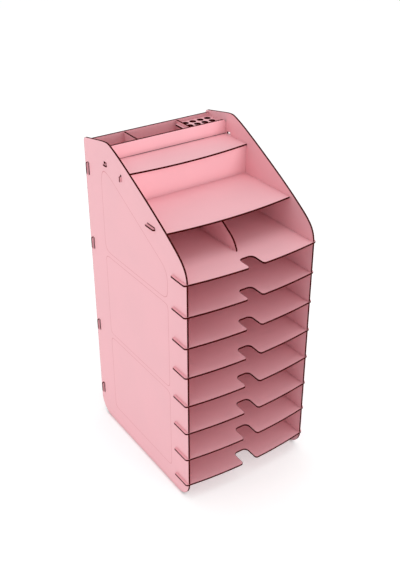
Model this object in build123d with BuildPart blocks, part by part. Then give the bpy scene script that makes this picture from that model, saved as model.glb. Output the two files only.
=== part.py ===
from build123d import *
import os
from math import cos, radians, sin, sqrt, tan

# Tiered document rack, cut from thin painted board and locked together without screws.
# Lengths are millimetres. X runs across the rack, Y from its open front to its back, Z up.
# The origin lies on the table, under the middle of the rack's outer box.
# Depths are measured from the front edge of the side panels, heights from the table.

# Board and joints
board = 3.0               # thickness of every board
fit = 0.1                 # gap on each side of a tab in its slot
tab_proud = 4.0           # how far a through tab stands out of the board that it pierces
tab_corner = 2.5          # rounding of a through tab's free corners
tab_length = 20.0         # tabs between the inner boards

# Side panels
outer_width = 255.0       # across the outer faces of both panels
panel_depth = 318.6       # front edge to rear edge
foot_radius = 35.0        # lower corners
rear_corner = 9.0         # top corner at the back

# Sloping top edge of the side panels, a chain of smooth curves
brow_drop = 1.2           # the front edge starts to curve this far below the top tray
brow_pull = 31.0          # how long the curve keeps to the upright front edge
shoulder_depth = 54.5     # where the brow runs into the long slope
shoulder_rise = 1.9       # height of that point over the desk shelf
shoulder_angle = 33.2     # steepness of the slope there, in degrees
shoulder_pull = 43.0
crest_lead = 37.7         # the slope ends this far in front of the pen box
crest_rise = 88.7         # height of that point over the desk shelf
crest_angle = 21.0
crest_pull = 26.0
crown_pull = 18.0
crown_lag = 7.8           # behind the pen box front the edge falls in a straight line
crown_rise = 3.5          # height of that point over the end of the slope
fall_angle = 10.9
fall_pull = 29.5

# Tray shelves
tray_count = 8
tray_pitch = 58.4         # one tray to the next
first_tray = 33.6         # underside of the lowest tray
front_overhang = 0.4      # tray front ahead of the side panels, at their outer faces
front_bow = 9.8           # further reach of a bowed front edge at its middle
ear_reach = 4.5           # ear beyond the side panel's outer face
ear_rear = 39.5           # depth of the ear's rear end
ear_front_corner = 4.5
ear_rear_corner = 1.8
lap_depth = 20.0          # slot in the side panel's front edge, the ear has the rest
notch_width = 28.0        # finger notch
notch_depth = 21.9        # depth of its closed end
notch_corner = 8.5
notch_lip = 5.0
rear_tab_spread = 70.0    # rear tabs of the shelves, to each side of the middle
rear_tab_length = 25.0

# Divider in the bay between the top tray and the desk shelf
divider_setback = 44.8    # depth of its front edge on the tray
divider_nose_run = 18.5   # the rounded nose ends this far behind that point
divider_nose_rise = 24.5  # and this far above it
divider_toe_angle = 76.0
divider_rake = 31.4       # slope of the front edge above the nose, in degrees
divider_nose_pull = 10.0
divider_feet = (110.0, 250.0)  # depths of the middles of its foot tabs

# Desk shelf and the narrow step above it
desk_setback = 56.9       # middle of the desk shelf's bowed front edge
desk_tab_setback = 31.8   # its side tabs start this far behind that
desk_tab_length = 24.4
riser_height = 52.1       # desk shelf to step
riser_tab_height = 9.0    # the riser's side tabs end flush with its top
riser_headroom = 2.5      # free height over them in their slots
riser_tab_proud = 3.0
step_depth = 59.0         # clear depth under the step, riser to pen box
step_nosing = 10.6        # overhang of the step's front edge at its middle
step_tab_length = 9.5
step_tab_proud = 2.0
step_tab_lead = 4.0       # rear end of the step's side tabs, ahead of the pen box
step_headroom = 4.5       # free height over them in their slots
step_rear_gap = 1.5       # between the step's rear edge and the pen box front
foot_tab_spread = 85.0    # foot tabs of the cross boards, to each side of the middle

# Pen box
pen_box_depth = 51.5      # clear depth, front board to back panel
pen_front_height = 81.7
pen_front_corner = 8.0
pen_front_play = 0.4      # gap between the pen box front and each side panel
brush_bay_width = 69.0    # clear width of the outer compartments
pen_divider_height = 78.2

# Perforated plate for brushes and pens over the right compartment
plate_drop = 5.5          # its top face below the top of the dividers
plate_tab_length = 39.5
plate_tab_lag = 7.5       # its side tab starts this far behind the pen box front
plate_tab_proud = 4.6
hole_diameter = 12.0
hole_margin = 4.4         # from the outer holes to the plate's edges
hole_columns = 4
hole_rows = 3

# Back panel
rear_inset = 8.1          # its rear face ahead of the side panels' rear edge
back_bottom = 15.0
back_lip = 1.0            # its top edge over the dividers
back_tab_length = 23.0
back_tab_levels = (58.5, 209.0, 385.5, 530.5)
back_tab_corner = 3.0
back_tab_slack = 2.4      # free width of the side panels' slots, ahead of these tabs

# Widths and depths that follow from these
half_outer = outer_width / 2
half_inner = half_outer - board
inner_edge = half_inner - fit
tab_tip = half_outer + tab_proud
ear_tip = half_outer + ear_reach
back_face = panel_depth - rear_inset - board
inner_rear = back_face - fit
rear_tab_depth = fit + board + tab_proud
pen_front_face = back_face - pen_box_depth - board
pen_divider_spread = half_inner - brush_bay_width - board / 2
pen_box_start = pen_front_face + board + fit
pen_box_middle = back_face - pen_box_depth / 2
riser_face = pen_front_face - step_depth - board
desk_tab_middle = desk_setback + desk_tab_setback + desk_tab_length / 2
step_tab_middle = pen_front_face - step_tab_lead - step_tab_length / 2

# Heights that follow from them
top_tray = first_tray + (tray_count - 1) * tray_pitch
divider_foot = top_tray + board
desk_under = first_tray + tray_count * tray_pitch
desk_top = desk_under + board
step_under = desk_top + riser_height
pen_divider_top = desk_top + pen_divider_height
plate_under = pen_divider_top - plate_drop - board
back_top = pen_divider_top + back_lip

# Bowed front edges are arcs of one radius
tray_front = -front_overhang - front_bow
bow_radius = (half_outer**2 + front_bow**2) / (2 * front_bow)


def bow_back(x):
    """How far a bowed front edge lies behind its middle, at x from the centre line."""
    return bow_radius - sqrt(bow_radius**2 - x**2)


# The trays' front edge reaches furthest beside the finger notch
notch_side = notch_width / 2 + notch_lip
front_most = tray_front + bow_back(notch_side)
panel_front = -(front_most + panel_depth) / 2


def level(height):
    """Plane of a lying board's underside: sketch x is width, sketch y is depth."""
    return Plane(origin=(0, panel_front, height))


def across(depth):
    """Plane of a cross board's front face: sketch x is width, sketch y is height."""
    return Plane(origin=(0, panel_front + depth, 0), x_dir=(1, 0, 0), z_dir=(0, -1, 0))


def fore_aft(x):
    """Plane of a board that stands front to back: sketch x is depth, sketch y is height."""
    return Plane(origin=(x, panel_front, 0), x_dir=(0, 1, 0), z_dir=(1, 0, 0))


def blend(start, start_angle, start_pull, end, end_angle, end_pull):
    """A smooth edge that leaves start and reaches end at the given angles."""
    leave = (start[0] + start_pull * cos(radians(start_angle)),
             start[1] + start_pull * sin(radians(start_angle)))
    arrive = (end[0] - end_pull * cos(radians(end_angle)),
              end[1] - end_pull * sin(radians(end_angle)))
    return Bezier(start, leave, arrive, end)


def bowed_board(middle, half_width, rear):
    """A board with a bowed front edge, as a face in the sketch."""
    corner = middle + bow_back(half_width)
    with BuildLine() as outline:
        ThreePointArc((-half_width, corner), (0, middle), (half_width, corner))
        Polyline((half_width, corner), (half_width, rear), (-half_width, rear), (-half_width, corner))
    make_face(outline.edges())


def cut_slots(places, width, height):
    """Slots for tabs of this width and height, centred on each place."""
    with Locations(*places):
        Rectangle(width + 2 * fit, height + 2 * fit, mode=Mode.SUBTRACT)


def both_sides(x, y):
    """One place to each side of the rack's centre line."""
    return [(-x, y), (x, y)]


def add_rear_tabs():
    """Tabs on a shelf's rear edge that go through the back panel."""
    with Locations(*both_sides(rear_tab_spread, inner_rear)):
        Rectangle(rear_tab_length, rear_tab_depth, align=(Align.CENTER, Align.MIN))


def tray_under(number):
    """Height of a tray's underside. Tray 1 is the lowest."""
    return first_tray + (number - 1) * tray_pitch


def save(piece, name):
    """Labels a finished piece and writes it."""
    piece.part.label = name
    export_step(piece.part, f"parts/{name}.step")


def side_panel(x):
    """A side wall: rounded feet, a sloping top edge, laps for the trays and slots for tabs."""
    shoulder = (shoulder_depth, desk_top + shoulder_rise)
    crest = (pen_front_face - crest_lead, desk_top + crest_rise)
    crown = (pen_front_face + crown_lag, crest[1] + crown_rise)
    brow = (0, top_tray - brow_drop)
    rear_top = (panel_depth, crown[1] - (panel_depth - crown[0]) * tan(radians(fall_angle)))
    with BuildPart() as panel:
        with BuildSketch(fore_aft(x)) as outline:
            with BuildLine():
                blend(brow, 90, brow_pull, shoulder, shoulder_angle, shoulder_pull)
                blend(shoulder, shoulder_angle, shoulder_pull, crest, crest_angle, crest_pull)
                blend(crest, crest_angle, crown_pull, crown, -fall_angle, fall_pull)
                Polyline(crown, rear_top, (panel_depth, 0), (0, 0), brow)
            make_face()
            fillet(outline.vertices().group_by(Axis.Y)[0], foot_radius)
            fillet(outline.vertices().group_by(Axis.X)[-1].sort_by(Axis.Y)[-1], rear_corner)
            with Locations(*[(lap_depth, tray_under(n + 1) + board / 2) for n in range(tray_count)]):
                Rectangle(2 * lap_depth, board + 2 * fit, align=(Align.MAX, Align.CENTER),
                          mode=Mode.SUBTRACT)
            cut_slots([(back_face + (board - back_tab_slack) / 2, z) for z in back_tab_levels],
                      board + back_tab_slack, back_tab_length)
            cut_slots([(desk_tab_middle, desk_under + board / 2)], desk_tab_length, board)
            cut_slots([(step_tab_middle, step_under + (board + step_headroom) / 2)],
                      step_tab_length, board + step_headroom)
            cut_slots([(riser_face + board / 2, step_under + (riser_headroom - riser_tab_height) / 2)],
                      board, riser_tab_height + riser_headroom)
        extrude(amount=board)
    return panel


def tray_shelf(number):
    """A tray: bowed front with a finger notch, ears that lap over the side panels, rear tabs."""
    ear_front = tray_front + bow_back(ear_tip)
    with BuildPart() as tray:
        with BuildSketch(level(tray_under(number))) as plan:
            with BuildLine():
                ThreePointArc((-ear_tip, ear_front), (0, tray_front), (ear_tip, ear_front))
                side = Polyline(
                    (ear_tip, ear_front),
                    (ear_tip, ear_rear),
                    (half_outer + fit, ear_rear),
                    (half_outer + fit, lap_depth - fit),
                    (inner_edge, lap_depth - fit),
                    (inner_edge, inner_rear),
                    (0, inner_rear),
                )
                mirror(side, about=Plane.YZ)
            make_face()
            ends = plan.vertices().group_by(Axis.X)
            fillet((ends[0] + ends[-1]).group_by(Axis.Y)[0], ear_front_corner)
            ends = plan.vertices().group_by(Axis.X)
            fillet((ends[0] + ends[-1]).group_by(Axis.Y)[-1], ear_rear_corner)
            with Locations((0, notch_depth)):
                Rectangle(notch_width, notch_depth - 2 * tray_front, align=(Align.CENTER, Align.MAX),
                          mode=Mode.SUBTRACT)
            fillet(plan.vertices().sort_by(Axis.Y)[:2], notch_lip)
            notch_end = plan.vertices().filter_by_position(Axis.Y, notch_depth - fit, notch_depth + fit)
            fillet(notch_end, notch_corner)
            add_rear_tabs()
            fillet(plan.vertices().group_by(Axis.Y)[-1], tab_corner)
            if number == tray_count:
                cut_slots([(0, depth) for depth in divider_feet], board, tab_length)
        extrude(amount=board)
    return tray


def top_bay_divider():
    """Stands on the top tray, with a raked front edge and a rounded nose."""
    toe = (divider_setback, divider_foot)
    nose = (toe[0] + divider_nose_run, toe[1] + divider_nose_rise)
    top = desk_under - fit
    brow = (nose[0] + (top - nose[1]) / tan(radians(divider_rake)), top)
    middle = (divider_foot + desk_under) / 2
    with BuildPart() as divider:
        with BuildSketch(fore_aft(-board / 2)) as outline:
            with BuildLine():
                blend(toe, divider_toe_angle, divider_nose_pull, nose, divider_rake, divider_nose_pull)
                Polyline(nose, brow, (inner_rear, top), (inner_rear, divider_foot), toe)
            make_face()
            with Locations(*[(depth, divider_foot) for depth in divider_feet]):
                Rectangle(tab_length, board, align=(Align.CENTER, Align.MAX))
            with Locations((inner_rear, middle)):
                Rectangle(rear_tab_depth, tab_length, align=(Align.MIN, Align.CENTER))
            fillet(outline.vertices().group_by(Axis.X)[-1], tab_corner)
        extrude(amount=board)
    return divider


def desk_shelf():
    """The wide step, which runs on under the narrow step to be the pen box's floor."""
    with BuildPart() as desk:
        with BuildSketch(level(desk_under)) as plan:
            bowed_board(desk_setback, inner_edge, inner_rear)
            with Locations((0, desk_tab_middle)):
                Rectangle(2 * tab_tip, desk_tab_length)
            ends = plan.vertices().group_by(Axis.X)
            fillet((ends[0] + ends[-1]).group_by(Axis.Y)[0], tab_corner)
            add_rear_tabs()
            fillet(plan.vertices().group_by(Axis.Y)[-1], tab_corner)
            cut_slots(both_sides(foot_tab_spread, riser_face + board / 2), tab_length, board)
            cut_slots(both_sides(foot_tab_spread, pen_front_face + board / 2), tab_length, board)
            cut_slots(both_sides(pen_divider_spread, pen_box_middle), board, tab_length)
        extrude(amount=board)
    return desk


def lower_riser():
    """Carries the front of the narrow step."""
    with BuildPart() as riser:
        with BuildSketch(across(riser_face)):
            with Locations((0, desk_top)):
                Rectangle(2 * inner_edge, riser_height, align=(Align.CENTER, Align.MIN))
            with Locations(*both_sides(foot_tab_spread, desk_top)):
                Rectangle(tab_length, board, align=(Align.CENTER, Align.MAX))
            with Locations((0, step_under)):
                Rectangle(2 * (half_outer + riser_tab_proud), riser_tab_height,
                          align=(Align.CENTER, Align.MAX))
        extrude(amount=-board)
    return riser


def upper_step():
    """The narrow step, on the riser and hung on the front of the pen box."""
    with BuildPart() as step:
        with BuildSketch(level(step_under)) as plan:
            bowed_board(riser_face - step_nosing, inner_edge, pen_front_face - step_rear_gap)
            with Locations((0, step_tab_middle)):
                Rectangle(2 * (half_outer + step_tab_proud), step_tab_length)
            ends = plan.vertices().group_by(Axis.X)
            fillet((ends[0] + ends[-1]).group_by(Axis.Y)[0], tab_corner)
            with Locations(*both_sides(foot_tab_spread, pen_front_face - step_rear_gap)):
                Rectangle(tab_length, step_rear_gap + board, align=(Align.CENTER, Align.MIN))
        extrude(amount=board)
    return step


def pen_box_front():
    """Front wall of the pen box, with rounded top corners."""
    with BuildPart() as wall:
        with BuildSketch(across(pen_front_face)) as outline:
            with Locations((0, desk_top)):
                Rectangle(2 * (half_inner - pen_front_play), pen_front_height,
                          align=(Align.CENTER, Align.MIN))
            fillet(outline.vertices().group_by(Axis.Y)[-1], pen_front_corner)
            with Locations(*both_sides(foot_tab_spread, desk_top)):
                Rectangle(tab_length, board, align=(Align.CENTER, Align.MAX))
            cut_slots(both_sides(foot_tab_spread, step_under + board / 2), tab_length, board)
        extrude(amount=-board)
    return wall


def pen_divider(x, holds_plate):
    """Wall between two compartments of the pen box."""
    middle = desk_top + pen_divider_height / 2
    with BuildPart() as divider:
        with BuildSketch(fore_aft(x - board / 2)) as outline:
            with Locations((pen_box_start, desk_top)):
                Rectangle(inner_rear - pen_box_start, pen_divider_height, align=(Align.MIN, Align.MIN))
            with Locations((pen_box_middle, desk_top)):
                Rectangle(tab_length, board, align=(Align.CENTER, Align.MAX))
            with Locations((inner_rear, middle)):
                Rectangle(rear_tab_depth, tab_length, align=(Align.MIN, Align.CENTER))
            fillet(outline.vertices().group_by(Axis.X)[-1], tab_corner)
            if holds_plate:
                cut_slots([(plate_tab_middle, plate_under + board / 2)], plate_tab_length, board)
        extrude(amount=board)
    return divider


def brush_plate():
    """Perforated plate that keeps brushes and pens upright in the right compartment."""
    with BuildPart() as plate:
        with BuildSketch(level(plate_under)) as plan:
            with Locations((plate_left, pen_box_start)):
                Rectangle(inner_edge - plate_left, inner_rear - pen_box_start, align=(Align.MIN, Align.MIN))
            with Locations((plate_left, plate_tab_middle)):
                Rectangle(fit + board + plate_tab_proud, plate_tab_length, align=(Align.MAX, Align.CENTER))
            fillet(plan.vertices().group_by(Axis.X)[0], tab_corner)
            with Locations((plate_middle, inner_rear)):
                Rectangle(tab_length, rear_tab_depth, align=(Align.CENTER, Align.MIN))
            fillet(plan.vertices().group_by(Axis.Y)[-1], tab_corner)
            with Locations((plate_middle, pen_box_middle)):
                with GridLocations(hole_pitch_x, hole_pitch_y, hole_columns, hole_rows):
                    Circle(hole_diameter / 2, mode=Mode.SUBTRACT)
        extrude(amount=board)
    return plate


def back_panel():
    """Closes the back. Every shelf and divider is pinned in it by its rear tabs."""
    trays = [tray_under(n + 1) + board / 2 for n in range(tray_count)]
    with BuildPart() as back:
        with BuildSketch(across(back_face)) as outline:
            with Locations((0, back_bottom)):
                Rectangle(2 * inner_edge, back_top - back_bottom, align=(Align.CENTER, Align.MIN))
            with Locations(*[(0, z) for z in back_tab_levels]):
                Rectangle(2 * tab_tip, back_tab_length)
            ends = outline.vertices().group_by(Axis.X)
            fillet(ends[0] + ends[-1], back_tab_corner)
            for height in trays + [desk_under + board / 2]:
                cut_slots(both_sides(rear_tab_spread, height), rear_tab_length, board)
            cut_slots([(0, (divider_foot + desk_under) / 2)], board, tab_length)
            cut_slots(both_sides(pen_divider_spread, desk_top + pen_divider_height / 2), board, tab_length)
            cut_slots([(plate_middle, plate_under + board / 2)], tab_length, board)
        extrude(amount=-board)
    return back


plate_left = pen_divider_spread + board / 2 + fit
plate_middle = (plate_left + inner_edge) / 2
plate_tab_middle = pen_front_face + board + plate_tab_lag + plate_tab_length / 2
hole_rim = 2 * hole_margin + hole_diameter
hole_pitch_x = (inner_edge - plate_left - hole_rim) / (hole_columns - 1)
hole_pitch_y = (inner_rear - pen_box_start - hole_rim) / (hole_rows - 1)

os.makedirs("parts", exist_ok=True)
save(side_panel(-half_outer), "side_panel_left")
save(side_panel(half_inner), "side_panel_right")
save(back_panel(), "back_panel")
for number in range(1, tray_count + 1):
    save(tray_shelf(number), f"tray_shelf_{number}")
save(top_bay_divider(), "top_bay_divider")
save(desk_shelf(), "desk_shelf")
save(lower_riser(), "lower_riser")
save(upper_step(), "upper_step")
save(pen_box_front(), "pen_box_front")
save(pen_divider(-pen_divider_spread, False), "pen_divider_left")
save(pen_divider(pen_divider_spread, True), "pen_divider_right")
save(brush_plate(), "brush_plate")
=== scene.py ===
"""Looks of the tiered document rack: painted board with charred cut edges, on a white table."""
import math

import bpy
from mathutils import Matrix, Vector


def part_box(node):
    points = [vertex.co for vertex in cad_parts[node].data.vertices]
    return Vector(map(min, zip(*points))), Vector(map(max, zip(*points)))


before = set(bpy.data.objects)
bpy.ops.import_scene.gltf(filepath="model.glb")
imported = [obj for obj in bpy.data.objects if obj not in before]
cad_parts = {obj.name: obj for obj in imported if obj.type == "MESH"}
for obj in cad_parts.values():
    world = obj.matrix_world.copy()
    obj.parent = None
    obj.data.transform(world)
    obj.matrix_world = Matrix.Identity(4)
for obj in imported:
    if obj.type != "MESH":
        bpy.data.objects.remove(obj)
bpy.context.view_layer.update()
MM = 0.001

# Camera fitted to the photograph: the frame's height and the focal length in pixels, the
# angles in radians, the place in millimetres with its depth from the side panels' front
# edges, the sensor's height in millimetres, and how far the camera sees in metres
IMAGE_HEIGHT = 570
FOCAL_PIXELS = 848.5
CAMERA_YAW = 0.59268
CAMERA_PITCH = 0.53156
CAMERA_ROLL = -0.00191
CAMERA_X = -732.59
CAMERA_DEPTH = -935.09
CAMERA_HEIGHT = 1100.65
SENSOR_MM = 36.0
FARTHEST_SEEN = 100.0

# Places on the rack: the side panels' front edges in metres, and how far their inner and
# outer faces are from the middle plane, in millimetres
panel_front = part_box("side_panel_left")[0][1]
right_low, right_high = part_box("side_panel_right")
inner_face = right_low[0] / MM
outer_face = right_high[0] / MM

# Millimetres by which a place may miss a face, and by which it is clearly past or short of it
ON_FACE = 0.1
OFF_FACE = 1.0

# Light of the surroundings
WORLD_LIGHT = 0.78

# Soft square lamps: place, the point they face, width in metres, power in watts
LAMPS = [
    ("left_lamp", (-2.6, 0.8, 0.4), (0.0, 0.1, 0.3), 0.8, 14.2),
    ("top_lamp", (0.0, 0.0, 2.8), (0.0, 0.0, 0.4), 1.5, 9.4),
    ("front_lamp", (0.6, -3.0, 0.6), (0.0, 0.0, 0.4), 1.0, 30.8),
]

# Table: half its width in metres, its white, how much it glows for the camera and in
# reflections without lighting the rack, and how far from a board's foot the glow is dimmed as a
# painted shade
TABLE_REACH = 30.0
TABLE_WHITE = 0.80
TABLE_GLOW = 0.37
CONTACT_REACH = 7.0 * MM

# Colours, linear
PAINT = (0.895, 0.482, 0.526)
CHAR_DARK = (0.030, 0.0008, 0.0006)
CHAR_BROWN = (0.095, 0.0065, 0.0042)
# Soot beside cut edges, also used as the painted shade of the spots beside slots and joints
SOOT_AND_PAINTED_SHADE = (0.090, 0.012, 0.014)
# Painted shade for the corners where boards meet
CORNER_SHADE_COLOUR = (0.40, 0.16, 0.19)

# Paint: its faint clouds of tone and its sprayed grain, what share each has in the change
# of tone, and the paint's colour at the darkest and the lightest
CLOUD_SCALE = 9.0
CLOUD_DETAIL = 3.0
GRAIN_SCALE = 900.0
NOISE_RANGE = (0.3, 0.7)
CLOUD_SHARE = 0.7
GRAIN_SHARE = 0.3
PAINT_DARK = tuple(value * 0.97 for value in PAINT)
PAINT_LIGHT = tuple(value * 1.02 for value in PAINT)

# Charred cut edges: streaks from face to face, and larger patches of scorch
STREAK_ALONG = 160.0
STREAK_ACROSS = 1600.0
STREAK_RANGE = (0.35, 0.7)
SCORCH_SCALE = 70.0
SCORCH_RANGE = (0.3, 0.75)
SCORCH_LEAST = 0.35

# Gloss: the paint's roughness from cloud to cloud, how much rougher a charred edge is, and
# the paint's share of mirrored light, which char doesn't have
PAINT_ROUGHNESS = (0.46, 0.54)
CHAR_ROUGHER = 0.25
PAINT_SPECULAR = 0.35

# Slight relief: how much the grain, the streaks and the scored lines count in it
GRAIN_RELIEF = 0.05
STREAK_RELIEF = 0.35
SCORE_RELIEF = 0.5
RELIEF_STRENGTH = 0.5
RELIEF_DEPTH = 0.3 * MM

# Painted shade in the corners where boards meet: how far it reaches out of a corner, how closed
# and open a place is where it is strongest and gone, and its strength
CORNER_REACH = 12.0 * MM
CORNER_SAMPLES = 8
CORNER_CLOSED = 0.45
CORNER_OPEN = 0.95
CORNER_SHADE_STRENGTH = 0.26

# On standing boards the painted corner shade fades towards the side panels' inner faces, over this
# many millimetres
PANEL_FADE = 12.0

# Soot on the faces beside every free cut edge: how far it is looked for, how closed and
# open the board's inside is where it is full and gone, and the same for the room outside
# where it is gone and full
RIM_REACH = 0.9 * MM
RIM_SAMPLES = 4
RIM_CLOSED = 0.66
RIM_OPEN = 0.93
RIM_JOINED = 0.65
RIM_FREE = 0.90

# Which way each board lies: the axis through its thickness
BOARD_AXES = {
    "side_panel_left": "X",
    "side_panel_right": "X",
    "top_bay_divider": "X",
    "pen_divider_left": "X",
    "pen_divider_right": "X",
    "back_panel": "Y",
    "lower_riser": "Y",
    "pen_box_front": "Y",
    "desk_shelf": "Z",
    "upper_step": "Z",
    "brush_plate": "Z",
}
for number in range(1, 9):
    BOARD_AXES[f"tray_shelf_{number}"] = "Z"

# A face whose normal has less than this share along that axis is a cut edge
EDGE_SHARE = 0.5

# Outlines scored into the side panels' outer faces: corners anticlockwise as (depth, height,
# rounding) in millimetres. A rounding of 16 gives a right angle a radius of about 9. The
# first corner is rounded like the last one.
SCORED_OUTLINES = [
    [(55.8, 40.0, 16.0), (261.8, 40.0, 16.0), (261.8, 206.0, 16.0), (55.8, 206.0, 16.0)],
    [(55.8, 215.5, 16.0), (262.0, 215.5, 16.0), (262.0, 381.5, 16.0), (55.8, 381.5, 16.0)],
    [(55.3, 390.7, 28.0), (262.3, 390.7, 28.0), (262.3, 557.4, 50.0), (55.3, 443.6, 28.0)],
]

# Distance from a scored line's middle where the line is still full and where it is gone, in
# millimetres, and the paint in it
SCORE_FULL = 0.135
SCORE_GONE = 0.72
SCORED_PAINT = (PAINT[0] * 0.78, PAINT[1] * 0.53, PAINT[2] * 0.55)

# Spots of painted shade where gaps at slots and joints look dark: low and high corner as
# (distance from the middle plane, depth, height) in millimetres, and how far their borders blur
PAINTED_SHADE_SPOTS = {
    "side_panel": [((127.0, 88.7, 503.8), (128.0, 113.1, 506.2))],
    "back_panel": [((124.3, 300.0, 0.0), (127.4, 320.0, 600.0))],
    "pen_box_front": [((0.0, 252.5, 558.9), (125.0, 253.5, 559.6))],
}
SPOT_BLUR = 0.15


class Nodes:
    """Short ways to add shader nodes to the emptied node tree of a material or world."""

    def __init__(self, owner):
        owner.use_nodes = True
        self.tree = owner.node_tree
        self.tree.nodes.clear()

    def add(self, kind, **settings):
        node = self.tree.nodes.new(kind)
        for key, value in settings.items():
            setattr(node, key, value)
        return node

    def link(self, source, target):
        self.tree.links.new(source, target)

    def feed(self, socket, value):
        """Links a socket, or writes a plain number into it."""
        if isinstance(value, (int, float)):
            socket.default_value = value
        else:
            self.link(value, socket)

    def math(self, operation, *values):
        node = self.add("ShaderNodeMath", operation=operation)
        for socket, value in zip(node.inputs, values):
            self.feed(socket, value)
        return node.outputs[0]

    def mix(self, factor, first, second):
        """Mixes two colours."""
        node = self.add("ShaderNodeMix", data_type="RGBA")
        self.feed(node.inputs["Factor"], factor)
        for name, value in (("A", first), ("B", second)):
            socket = [s for s in node.inputs if s.name == name and s.type == "RGBA"][0]
            if isinstance(value, tuple):
                socket.default_value = (*value, 1.0)
            else:
                self.link(value, socket)
        return [s for s in node.outputs if s.type == "RGBA"][0]

    def ramp(self, value, low, high, out_low=0.0, out_high=1.0):
        """Maps low..high smoothly to out_low..out_high."""
        node = self.add("ShaderNodeMapRange", interpolation_type="SMOOTHSTEP")
        self.feed(node.inputs["Value"], value)
        node.inputs["From Min"].default_value = low
        node.inputs["From Max"].default_value = high
        node.inputs["To Min"].default_value = out_low
        node.inputs["To Max"].default_value = out_high
        return node.outputs["Result"]

    def noise(self, place, scale, detail=2.0):
        node = self.add("ShaderNodeTexNoise")
        self.link(place, node.inputs["Vector"])
        node.inputs["Scale"].default_value = scale
        node.inputs["Detail"].default_value = detail
        return node.outputs["Fac"]

    def split(self, vector):
        """The X, Y and Z of a vector."""
        node = self.add("ShaderNodeSeparateXYZ")
        self.link(vector, node.inputs[0])
        return node.outputs

    def openness(self, samples, reach, **settings):
        """How open the room around a place is, from 0 to 1."""
        node = self.add("ShaderNodeAmbientOcclusion", samples=samples, **settings)
        node.inputs["Distance"].default_value = reach
        return node.outputs["AO"]

    def seen(self):
        """1 where the camera looks, straight, by reflection or through a clear piece, else 0."""
        path = self.add("ShaderNodeLightPath")
        seen = self.math("MAXIMUM", path.outputs["Is Camera Ray"], path.outputs["Is Glossy Ray"])
        return self.math("MAXIMUM", seen, path.outputs["Is Transmission Ray"])


def scored_lines(n, depth, height):
    """A mask of the scored outlines, from depth and height in millimetres."""
    mask = None
    for corners in SCORED_OUTLINES:
        reach = None
        for (y1, z1, rounding), (y2, z2, _) in zip(corners, corners[1:] + corners[:1]):
            length = math.hypot(y2 - y1, z2 - z1)
            across, along = (z2 - z1) / length, -(y2 - y1) / length
            offset = -(across * y1 + along * z1)
            side = n.math("MULTIPLY_ADD", depth, across, offset)
            side = n.math("MULTIPLY_ADD", height, along, side)
            reach = side if reach is None else n.math("SMOOTH_MAX", reach, side, rounding)
        line = n.ramp(n.math("ABSOLUTE", reach), SCORE_FULL, SCORE_GONE, 1.0, 0.0)
        mask = line if mask is None else n.math("MAXIMUM", mask, line)
    return mask


def in_boxes(n, places, boxes):
    """A mask of some boxes, each given by its low and high corner."""
    mask = None
    for low, high in boxes:
        inside = None
        for place, start, end in zip(places, low, high):
            away = n.math("ABSOLUTE", n.math("SUBTRACT", place, (start + end) / 2))
            half = (end - start) / 2
            near = n.ramp(away, half - SPOT_BLUR, half + SPOT_BLUR, 1.0, 0.0)
            inside = near if inside is None else n.math("MULTIPLY", inside, near)
        mask = inside if mask is None else n.math("MAXIMUM", mask, inside)
    return mask


def charred_fibres(n, place, axis):
    """A cut edge's colour, and the fine streaks that run across it from face to face."""
    stretch = n.add("ShaderNodeMapping")
    n.link(place, stretch.inputs["Vector"])
    stretch.inputs["Scale"].default_value = [
        STREAK_ALONG if one == axis else STREAK_ACROSS for one in "XYZ"]
    streaks = n.noise(stretch.outputs[0], 1.0)
    scorch = n.noise(place, SCORCH_SCALE)
    brown = n.math("MULTIPLY", n.ramp(streaks, *STREAK_RANGE),
                   n.ramp(scorch, *SCORCH_RANGE, SCORCH_LEAST, 1.0))
    return n.mix(brown, CHAR_DARK, CHAR_BROWN), streaks


def corner_shade_mask(n, room, from_middle, axis):
    """A mask of the painted shade in corners, none of it on what stands out past the side panels.
    """
    corner_shade = n.ramp(room, CORNER_CLOSED, CORNER_OPEN, CORNER_SHADE_STRENGTH, 0.0)
    corner_shade = n.math("MULTIPLY", corner_shade, n.math("LESS_THAN", from_middle, outer_face + ON_FACE))
    if axis == "Z":
        return corner_shade
    fade = n.ramp(from_middle, inner_face - PANEL_FADE, inner_face, 1.0, 0.0)
    fade = n.math("MAXIMUM", fade, n.math("GREATER_THAN", from_middle, inner_face + OFF_FACE))
    return n.math("MULTIPLY", corner_shade, fade)


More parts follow.
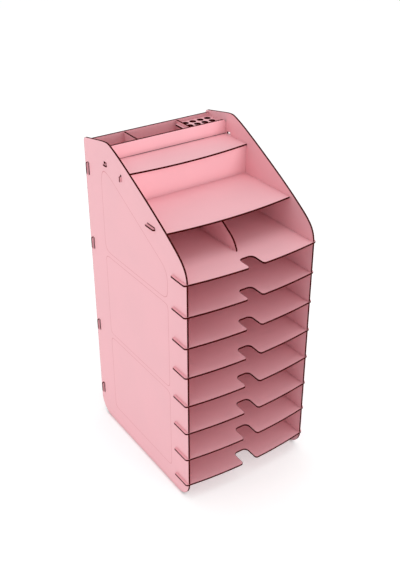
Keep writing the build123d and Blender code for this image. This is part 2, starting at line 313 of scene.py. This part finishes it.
def board_material(name, axis, scored=False, spots=()):
    """Satin paint on the faces, charred fibres on every cut edge."""
    material = bpy.data.materials.new(f"painted_{name}")
    n = Nodes(material)
    output = n.add("ShaderNodeOutputMaterial")
    shader = n.add("ShaderNodeBsdfPrincipled")
    n.link(shader.outputs[0], output.inputs[0])

    place = n.add("ShaderNodeTexCoord").outputs["Object"]
    normal = n.add("ShaderNodeNewGeometry").outputs["True Normal"]
    facing = n.math("ABSOLUTE", n.split(normal)[axis])
    edge = n.math("LESS_THAN", facing, EDGE_SHARE)

    # Paint with faint clouds of tone and a fine sprayed grain
    clouds = n.noise(place, CLOUD_SCALE, CLOUD_DETAIL)
    grain = n.noise(place, GRAIN_SCALE)
    tone = n.math("ADD", n.ramp(clouds, *NOISE_RANGE, 0.0, CLOUD_SHARE),
                  n.ramp(grain, *NOISE_RANGE, 0.0, GRAIN_SHARE))
    paint = n.mix(tone, PAINT_DARK, PAINT_LIGHT)
    char, streaks = charred_fibres(n, place, axis)

    # Scored lines, on the side panels' outer faces alone
    paint_relief = n.math("MULTIPLY", grain, GRAIN_RELIEF)
    places = n.split(place)
    from_middle = n.math("ABSOLUTE", n.math("MULTIPLY", places["X"], 1 / MM))
    depth = n.math("MULTIPLY_ADD", places["Y"], 1 / MM, -panel_front / MM)
    height = n.math("MULTIPLY", places["Z"], 1 / MM)
    if scored:
        outside = n.math("GREATER_THAN", from_middle, outer_face - OFF_FACE)
        lines = n.math("MULTIPLY", scored_lines(n, depth, height), outside)
        paint = n.mix(lines, paint, SCORED_PAINT)
        paint_relief = n.math("SUBTRACT", paint_relief, n.math("MULTIPLY", lines, SCORE_RELIEF))

    # Painted shade in the corners and in spots beside slots and joints, and soot beside every free
    # cut edge
    room = n.openness(CORNER_SAMPLES, CORNER_REACH)
    paint = n.mix(corner_shade_mask(n, room, from_middle, axis), paint, CORNER_SHADE_COLOUR)
    if spots:
        # Spots of painted shade beside slots and joints
        paint = n.mix(in_boxes(n, (from_middle, depth, height), spots), paint, SOOT_AND_PAINTED_SHADE)
    rim = n.ramp(n.openness(RIM_SAMPLES, RIM_REACH, inside=True, only_local=True),
                 RIM_CLOSED, RIM_OPEN, 1.0, 0.0)
    rim = n.math("MULTIPLY", rim, n.ramp(room, RIM_JOINED, RIM_FREE))
    paint = n.mix(rim, paint, SOOT_AND_PAINTED_SHADE)

    n.link(n.mix(edge, paint, char), shader.inputs["Base Color"])
    roughness = n.ramp(clouds, *NOISE_RANGE, *PAINT_ROUGHNESS)
    roughness = n.math("MULTIPLY_ADD", edge, CHAR_ROUGHER, roughness)
    n.link(roughness, shader.inputs["Roughness"])
    specular = n.math("MULTIPLY_ADD", edge, -PAINT_SPECULAR, PAINT_SPECULAR)
    n.link(specular, shader.inputs["Specular IOR Level"])

    edge_relief = n.math("MULTIPLY", edge, n.math("MULTIPLY", streaks, STREAK_RELIEF))
    bump = n.add("ShaderNodeBump")
    bump.inputs["Strength"].default_value = RELIEF_STRENGTH
    bump.inputs["Distance"].default_value = RELIEF_DEPTH
    n.link(n.math("ADD", edge_relief, paint_relief), bump.inputs["Height"])
    n.link(bump.outputs[0], shader.inputs["Normal"])
    return material


def dress_boards():
    """Gives every CAD board the material for the way it lies."""
    plain = {axis: board_material(f"board_{axis.lower()}", axis) for axis in "XYZ"}
    special = {
        "side_panel_left": board_material("side_panel", "X", True, PAINTED_SHADE_SPOTS["side_panel"]),
        "back_panel": board_material("back_panel", "Y", False, PAINTED_SHADE_SPOTS["back_panel"]),
        "pen_box_front": board_material("pen_box_front", "Y", False, PAINTED_SHADE_SPOTS["pen_box_front"]),
    }
    special["side_panel_right"] = special["side_panel_left"]
    for name, axis in BOARD_AXES.items():
        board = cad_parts[name]
        material = special.get(name, plain[axis])
        if not board.material_slots:
            board.data.materials.append(material)
        for slot in board.material_slots:
            slot.material = material


def add_table():
    """A white table top that keeps the rack's soft shadow, its glow dimmed beside the rack as a
    painted contact shade.
    """
    mesh = bpy.data.meshes.new("table_top")
    far = TABLE_REACH
    corners = [(-far, -far, 0.0), (far, -far, 0.0), (far, far, 0.0), (-far, far, 0.0)]
    mesh.from_pydata(corners, [], [(0, 1, 2, 3)])
    table = bpy.data.objects.new("table_top", mesh)
    bpy.context.collection.objects.link(table)
    material = bpy.data.materials.new("white_table")
    n = Nodes(material)
    output = n.add("ShaderNodeOutputMaterial")
    diffuse = n.add("ShaderNodeBsdfDiffuse")
    diffuse.inputs["Color"].default_value = (TABLE_WHITE, TABLE_WHITE, TABLE_WHITE, 1.0)
    glow = n.add("ShaderNodeEmission")
    seen = n.seen()
    # The glow dims where the rack stands close, a painted contact shade on the table
    room = n.openness(CORNER_SAMPLES, CONTACT_REACH)
    lit = n.ramp(room, CORNER_CLOSED, CORNER_OPEN, 0.0, TABLE_GLOW)
    n.link(n.math("MULTIPLY", seen, lit), glow.inputs["Strength"])
    both = n.add("ShaderNodeAddShader")
    n.link(diffuse.outputs[0], both.inputs[0])
    n.link(glow.outputs[0], both.inputs[1])
    n.link(both.outputs[0], output.inputs[0])
    mesh.materials.append(material)


def set_world():
    """Even white surroundings, which the camera and reflections see as plain white."""
    world = bpy.data.worlds.new("studio")
    bpy.context.scene.world = world
    n = Nodes(world)
    output = n.add("ShaderNodeOutputWorld")
    mixer = n.add("ShaderNodeMixShader")
    n.link(n.seen(), mixer.inputs[0])
    for socket, strength in zip(mixer.inputs[1:], (WORLD_LIGHT, 1.0)):
        white = n.add("ShaderNodeBackground")
        white.inputs["Color"].default_value = (1.0, 1.0, 1.0, 1.0)
        white.inputs["Strength"].default_value = strength
        n.link(white.outputs[0], socket)
    n.link(mixer.outputs[0], output.inputs[0])


def add_lamp(name, place, target, size, power):
    """A square soft lamp that points at the target."""
    data = bpy.data.lights.new(name, "AREA")
    data.shape = "SQUARE"
    data.size = size
    data.energy = power
    lamp = bpy.data.objects.new(name, data)
    lamp.location = place
    lamp.rotation_euler = (Vector(target) - Vector(place)).to_track_quat("-Z", "Y").to_euler()
    bpy.context.collection.objects.link(lamp)


def add_camera():
    """The photograph's camera."""
    level = math.cos(CAMERA_PITCH)
    forward = Vector((
        math.sin(CAMERA_YAW) * level, math.cos(CAMERA_YAW) * level, -math.sin(CAMERA_PITCH)))
    level_right = Vector((math.cos(CAMERA_YAW), -math.sin(CAMERA_YAW), 0.0))
    level_up = level_right.cross(forward)
    right = math.cos(CAMERA_ROLL) * level_right + math.sin(CAMERA_ROLL) * level_up
    up = -math.sin(CAMERA_ROLL) * level_right + math.cos(CAMERA_ROLL) * level_up
    place = Vector((CAMERA_X * MM, CAMERA_DEPTH * MM + panel_front, CAMERA_HEIGHT * MM))
    data = bpy.data.cameras.new("camera")
    data.sensor_fit = "VERTICAL"
    data.sensor_height = SENSOR_MM
    data.lens = FOCAL_PIXELS / IMAGE_HEIGHT * SENSOR_MM
    data.clip_end = FARTHEST_SEEN
    camera = bpy.data.objects.new("camera", data)
    turn = Matrix((right, up, -forward)).transposed().to_4x4()
    camera.matrix_world = Matrix.Translation(place) @ turn
    bpy.context.collection.objects.link(camera)
    bpy.context.scene.camera = camera


add_camera()
dress_boards()
add_table()
set_world()
for lamp_values in LAMPS:
    add_lamp(*lamp_values)
bpy.context.scene.view_settings.view_transform = "Standard"
